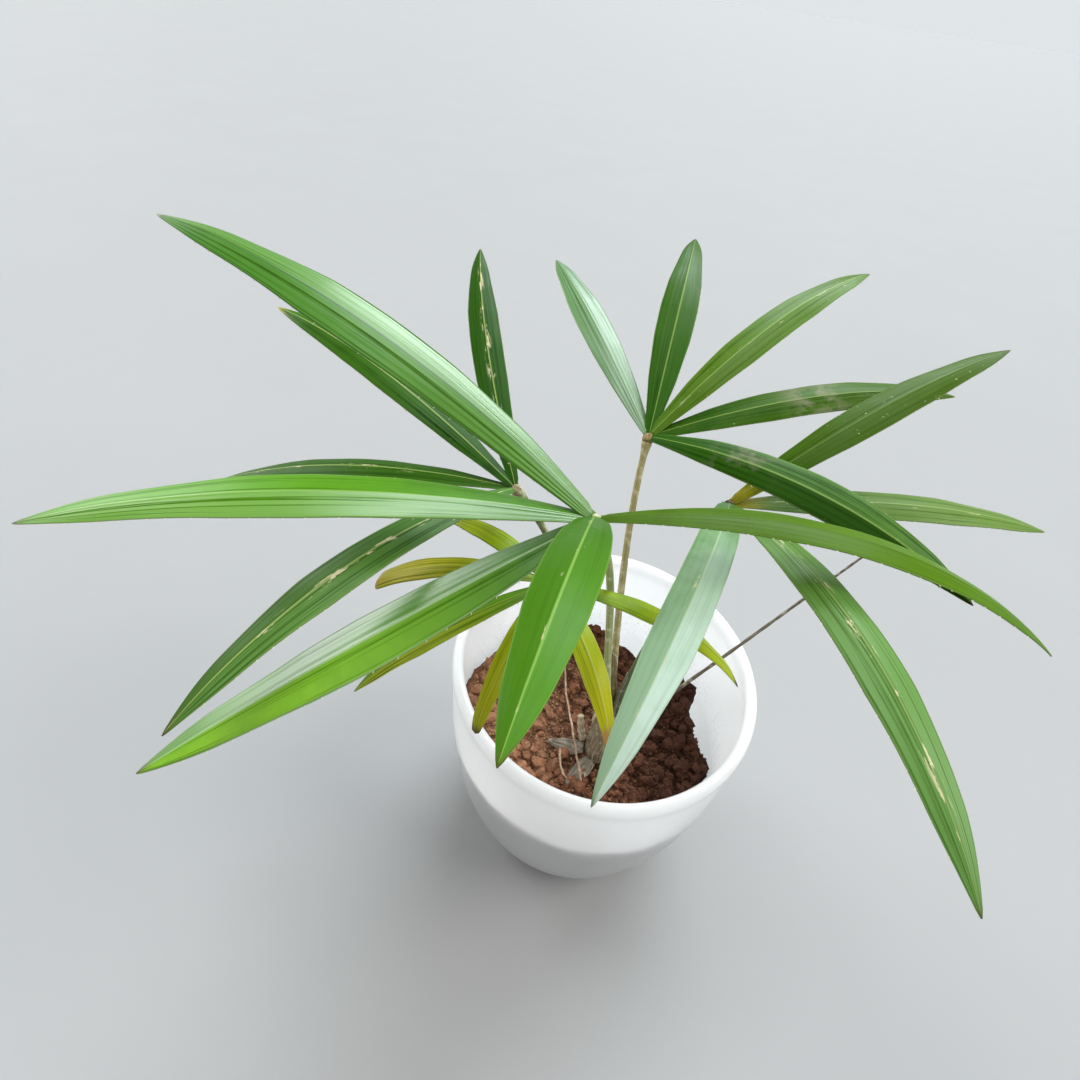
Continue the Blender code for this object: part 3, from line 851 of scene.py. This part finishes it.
def rod(path, radius, across=20, along=90, wrap=1.0, closed=True):
    """A rod round a path. radius(u, v) gives the distance from the path, in millimetres."""
    path = np.array(path, float)
    ahead = np.gradient(path, axis=0)
    ahead /= np.linalg.norm(ahead, axis=1)[:, None]
    left = np.zeros_like(path)
    lean = np.array([1.0, 0.0, 0.0]) if abs(ahead[0][0]) < 0.9 else np.array([0.0, 1.0, 0.0])
    for i, a in enumerate(ahead):
        lean = lean - a * (lean @ a)
        lean /= np.linalg.norm(lean)
        left[i] = lean
    over = np.cross(ahead, left)
    steps = np.concatenate([[0], np.cumsum(np.linalg.norm(np.diff(path, axis=0), axis=1))])
    steps /= steps[-1]

    def at(rows, v):
        return np.stack([np.interp(v, steps, rows[:, k]) for k in range(3)], 1)

    def place(u, v):
        t = 2 * math.pi * u * wrap
        r = radius(u, v)[:, None]
        return at(path, v) + at(left, v) * np.cos(t)[:, None] * r + at(over, v) * np.sin(t)[:, None] * r

    return sheet_of(across, along, place, closed=closed, merge=0.000005)


def fibre_material(name, dark, mid, light, rough=0.6, strength=0.5, lines=30.0):
    """Plant fibre: streaks that follow the piece's own length."""
    made, tree, shader = new_material(name, rough)
    where = put(tree, "ShaderNodeUVMap", {}, uv_map="UVMap").outputs[0]
    streak = speckle(tree, 1.0, detail=5.0, stretch=(lines, 3.0, 1.0), place=where)
    patch = speckle(tree, 300.0, detail=4.0)
    colour = tint(tree, ramp(tree, streak, 0.35, 0.66), dark, mid)
    colour = tint(tree, ramp(tree, patch, 0.48, 0.75), colour, light)
    tree.links.new(colour, shader.inputs["Base Color"])
    relief(tree, shader, streak, strength, 0.0003)
    return made


STALK_COLOURS = {
    "a": ((0.26, 0.33, 0.10), (0.52, 0.54, 0.25), (0.74, 0.70, 0.44)),
    "b": ((0.27, 0.22, 0.08), (0.54, 0.46, 0.20), (0.74, 0.65, 0.40)),
    "c": ((0.06, 0.09, 0.03), (0.16, 0.20, 0.08), (0.36, 0.38, 0.22)),
    "d": ((0.06, 0.09, 0.03), (0.20, 0.24, 0.08), (0.42, 0.42, 0.22)),
    "e": ((0.08, 0.12, 0.03), (0.26, 0.30, 0.09), (0.46, 0.46, 0.20)),
}
HUB_COLOURS = {
    "a": ((0.30, 0.34, 0.12), (0.55, 0.55, 0.30), (0.72, 0.70, 0.46)),
    "b": ((0.08, 0.05, 0.015), (0.28, 0.17, 0.05), (0.42, 0.32, 0.10)),
    "c": ((0.03, 0.012, 0.006), (0.13, 0.07, 0.02), (0.36, 0.28, 0.04)),
    "d": ((0.14, 0.11, 0.05), (0.42, 0.34, 0.18), (0.62, 0.54, 0.34)),
    "e": ((0.10, 0.10, 0.03), (0.30, 0.30, 0.10), (0.50, 0.46, 0.22)),
}
stalk_paths = {}
for letter, (foot, guides, hub, blades) in LEAVES.items():
    start = np.array(STEM_TOP) + (0, 0, 0.3)
    if foot is not None:
        t = math.radians(foot)
        start = start + (RING_R * math.cos(t), RING_R * math.sin(t), 0)
    path = bezier(start, *guides, hub, PATH_POINTS)
    stalk_paths[letter] = path
    low_part = np.array([start - (0, 0, 9), start - (0, 0, 4)])

    def stalk_radius(u, v):
        taper = STALK_R[0] + (STALK_R[1] - STALK_R[0]) * v
        groove = 0.42 * np.exp(-(((u - 0.25) / 0.09) ** 2))
        ribs = 0.035 * np.cos(2 * math.pi * u * 9)
        swell = 0.7 * np.exp(-(((v - 1.0) / 0.03) ** 2)) + 0.9 * np.exp(-((v / 0.06) ** 2))
        return taper * (1 - groove + ribs) + swell

    stalk = rod(np.vstack([low_part, path[:-1]]), stalk_radius, across=28, along=130)
    rind = fibre_material(f"stalk_{letter}", *STALK_COLOURS[letter])
    finish_piece(stalk, f"stalk_{letter}_rib", rind, [f"stalk_{letter}"])

    ahead = path[-1] - path[-4]
    ahead /= np.linalg.norm(ahead)
    knot = np.array([path[-1] + ahead * s for s in np.linspace(-3.0, 1.6, 24)])

    def knot_radius(u, v):
        bulge = np.sqrt(np.clip(1 - (2 * v - 1) ** 2, 0.0, 1)) ** 0.8
        return 1.9 * bulge * (1 + 0.10 * np.cos(2 * math.pi * u * 7 + 4 * v)) + 0.02

    hub_piece = rod(knot, knot_radius, across=42, along=26)
    hub_fibre = fibre_material(f"hub_{letter}", *HUB_COLOURS[letter], lines=22.0)
    finish_piece(hub_piece, f"hub_{letter}", hub_fibre, [])

# Stem: short, wrapped in the grey-brown fibrous remains of old sheaths, with papery tan sheaths
# round the feet of the stalks, and loose hairs along their torn edges.
STEM_R = (6.2, 4.9)
STEM_POINTS = 30
stem_path = np.linspace((STEM_X, STEM_Y, SOIL_Z - 1.5), np.array(STEM_TOP) + (0, 0, 0.2), STEM_POINTS)


def stem_radius(u, v):
    base = STEM_R[0] + (STEM_R[1] - STEM_R[0]) * v
    steps = 0.55 * (1 - (v * 3.3 + 0.25 * np.sin(2 * math.pi * u)) % 1.0)
    fibres = 0.22 * np.cos(2 * math.pi * u * 26 + 3 * np.sin(v * 7)) + 0.12 * np.cos(2 * math.pi * u * 61)
    return base * 0.97 + steps + fibres


stem = rod(stem_path, stem_radius, across=150, along=70)
BARK_SHADES = (0.13, 0.10, 0.06), (0.34, 0.27, 0.17), (0.55, 0.46, 0.31)
bark = fibre_material("old_sheath_fibre", *BARK_SHADES, 0.85, 0.8, 60.0)
finish_piece(stem, "stem_sheaths", bark, ["stem"])

PAPER_SHADES = (0.24, 0.17, 0.10), (0.58, 0.48, 0.32), (0.78, 0.69, 0.50)
GREY_SHADES = (0.12, 0.11, 0.08), (0.30, 0.28, 0.20), (0.50, 0.47, 0.36)
papery = fibre_material("papery_sheath", *PAPER_SHADES, 0.75, 0.6, 26.0)
grey_paper = fibre_material("grey_sheath", *GREY_SHADES, 0.8, 0.6, 26.0)
# Sheath: its stalks, the share of them that it covers, its radius, its share of a full turn, and its paper
WRAPS = (
    ("sheath_ab", ("a", "b"), 0.30, 2.7, 0.62, papery),
    ("sheath_c", ("c",), 0.26, 2.3, 0.66, grey_paper),
    ("sheath_d", ("d",), 0.20, 2.3, 0.6, papery),
    ("sheath_e", ("e",), 0.18, 2.2, 0.6, grey_paper),
)
for name, letters, height, size, wrap, paper in WRAPS:
    middle = np.mean([stalk_paths[k] for k in letters], axis=0)
    span = middle[: int(height * (PATH_POINTS - 1)) + 1]
    span = np.vstack([span[0] - (0, 0, 7), span[0] - (0, 0, 3), span])

    def wrap_radius(u, v):
        torn = 1 + 0.16 * np.sin(11 * u + 3) * v**3
        return (size + 0.9 * (1 - v) + 0.12 * np.cos(u * 60)) * (1 - 0.28 * v) * torn

    cover = rod(span, wrap_radius, across=60, along=60, wrap=wrap, closed=False)
    apply_modifier(cover, "SOLIDIFY", thickness=0.22 * MM, offset=0.0)
    finish_piece(cover, name, paper, [])


def thread(path, thick, sides=5, along=10):
    """Points and faces of one thin strand, closed at both ends, for strewn."""
    path = np.array(path, float)
    ahead = np.gradient(path, axis=0)
    ahead /= np.linalg.norm(ahead, axis=1)[:, None]
    lean = np.cross(ahead[0], (0.3, 0.8, 0.52))
    points, faces = [], []
    for i, (centre, a) in enumerate(zip(path, ahead)):
        lean = lean - a * (lean @ a)
        lean /= np.linalg.norm(lean)
        over = np.cross(a, lean)
        r = thick * (1 - 0.75 * i / (len(path) - 1))
        for k in range(sides):
            t = 2 * math.pi * k / sides
            points.append(centre + r * (lean * math.cos(t) + over * math.sin(t)))
    for i in range(len(path) - 1):
        for k in range(sides):
            m = (k + 1) % sides
            faces.append((i * sides + k, i * sides + m, (i + 1) * sides + m, (i + 1) * sides + k))
    faces.append(tuple(reversed(range(sides))))
    faces.append(tuple(range((len(path) - 1) * sides, len(path) * sides)))
    return np.array(points), faces


def loose_hairs(count):
    strands = []
    for i in range(count):
        t = rng.uniform(0, 2 * math.pi)
        v = rng.uniform(0.1, 1.0)
        foot = stem_path[int(v * (STEM_POINTS - 1))] + 5.2 * np.array((math.cos(t), math.sin(t), 0))
        out = np.array((math.cos(t), math.sin(t), rng.uniform(0.4, 2.2)))
        out /= np.linalg.norm(out)
        bend = rng.normal(size=3) * 0.5
        reach = rng.uniform(3, 9)
        strands.append([foot + out * reach * s + bend * reach * 0.5 * s * s for s in np.linspace(0, 1, 7)])
    return strands


HAIR_R, HAIR_COUNT = 0.14, 46
hair_shapes = [thread(path, HAIR_R) for path in loose_hairs(HAIR_COUNT)]
hairs = strewn(hair_shapes, len(hair_shapes), lambda i: (i, np.eye(3), np.zeros(3)))
hair_matter, tree, shader = new_material("dry_hair", 0.8)
straw = tint(tree, speckle(tree, 300.0), (0.20, 0.14, 0.08), (0.55, 0.46, 0.32))
tree.links.new(straw, shader.inputs["Base Color"])
finish_piece(hairs, "stem_hairs", hair_matter, [])

# Litter: a bare dry stalk that leans out over the rim, a cut stub, a pale thread-like dead root and
# a small hooked one, and two grey dead sheaths curled on the soil.
DRY_PATH = ((10.1, -15.6, 87), (28.6, -7, 100.5), (54.7, 12, 118.5), (105, 48, 147))
STUB_PATH = ((-3.5, -17, 75.5), (-5.0, -15, 81), (-6, -12.5, 86))
ROOT_BENDS = (
    (-13.6, 19.5, 1.3),
    (-11.7, 6.0, 1.4),
    (-9.5, -6.0, 1.8),
    (-8.2, -13.5, 3.6),
    (-6.6, -22.0, 4.4),
    (-4.8, -29.0, 4.4),
    (-3.2, -36.0, 4.2),
)
OLD_SHEATHS = {
    "old_sheath_left": ((-2.9, -20.6), (-18, -20), 7.0),
    "old_sheath_front": ((0.3, -25.8), (-9, -37), 7.0),
}


def smooth_path(points, count):
    """A path through the points with its corners rounded off."""
    points = np.array(points, float)
    at = np.linspace(0, len(points) - 1, count)
    path = np.stack([np.interp(at, range(len(points)), points[:, k]) for k in range(3)], 1)
    for _ in range(count // 12):
        path[1:-1] = (path[:-2] + 2 * path[1:-1] + path[2:]) / 4
    return path


def ribbed_radius(thick, thin, ribs, depth, knots, swell):
    """Radius of a rod that tapers from thick to thin, with ribs along it and knots that swell it."""

    def radius(u, v):
        return thick + (thin - thick) * v + depth * np.cos(2 * math.pi * u * ribs) + swell * np.sin(v * knots)

    return radius


DRY_SHADES = (0.05, 0.04, 0.03), (0.17, 0.14, 0.09), (0.36, 0.32, 0.22)
dry = rod(bezier(*DRY_PATH, 60), ribbed_radius(0.85, 0.5, 5, 0.05, 90, 0.04), 16, 120)
dry_matter = fibre_material("dry_stalk", *DRY_SHADES, 0.8, 0.6, 14.0)
finish_piece(dry, "dry_stalk_rod", dry_matter, ["dry_stalk"])

stub = rod(smooth_path(STUB_PATH, 30), ribbed_radius(1.6, 1.2, 6, 0.16, 20, 0.2), 36, 40)
finish_piece(stub, "stub_cut", papery, ["stub"])

ROOT_SHADES = (0.26, 0.16, 0.10), (0.50, 0.34, 0.23), (0.70, 0.55, 0.42)
root_path = smooth_path([(x, y, soil_height(x, y) + lift) for x, y, lift in ROOT_BENDS], 90)
root_path[:, 0] += 0.12 * np.sin(np.linspace(0, 31, 90))
root_path[:, 2] += 0.1 * np.sin(np.linspace(0, 23, 90))
root = rod(root_path, ribbed_radius(0.48, 0.48, 3, 0.05, 130, 0.07), 12, 150)
root_matter = fibre_material("dead_root", *ROOT_SHADES, 0.8, 0.5, 8.0)
finish_piece(root, "dead_root_thread", root_matter, ["dead_root"])

HOOK_BENDS = (
    (-12.5, -22.5, 1.2), (-12.6, -27, 3.0), (-12.0, -31, 3.4), (-10.2, -34, 2.4), (-7.6, -35.6, 1.2),
)
hook_path = smooth_path([(x, y, soil_height(x, y) + lift) for x, y, lift in HOOK_BENDS], 50)
hook_root = rod(hook_path, ribbed_radius(0.62, 0.32, 1, 0.0, 60, 0.05), 12, 60)
finish_piece(hook_root, "hooked_root", root_matter, [])

DEAD_SHADES = (0.12, 0.10, 0.075), (0.30, 0.25, 0.19), (0.46, 0.40, 0.31)
SHEATH_SHARES, SHEATH_WIDTHS = (0, 0.25, 0.55, 0.8, 1), (0.75, 1, 0.85, 0.5, 0.12)
dead = fibre_material("dead_sheath", *DEAD_SHADES, 0.85, 0.8, 24.0)
for name, (near, far, width) in OLD_SHEATHS.items():
    near, far = np.array(near, float), np.array(far, float)
    way = (far - near) / np.linalg.norm(far - near)
    beside = np.array((-way[1], way[0]))

    def sheath_place(u, v):
        out = []
        for a, s in zip(2 * u - 1, v):
            half = width / 2 * float(np.interp(s, SHEATH_SHARES, SHEATH_WIDTHS))
            middle = near + (far - near) * s
            x, y = middle + beside * a * half
            curl = 2.5 - 0.5 * s - 0.9 * a * a * half / 3
            waves = 0.25 * math.sin(9 * a + 4 * s) + 0.3 * math.sin(14 * s)
            out.append((x, y, soil_height(*middle) + curl + waves))
        return np.array(out)

    curled = sheet_of(40, 50, sheath_place)
    apply_modifier(curled, "SOLIDIFY", thickness=0.4 * MM, offset=0.0)
    finish_piece(curled, f"{name}_curl", dead, [name])
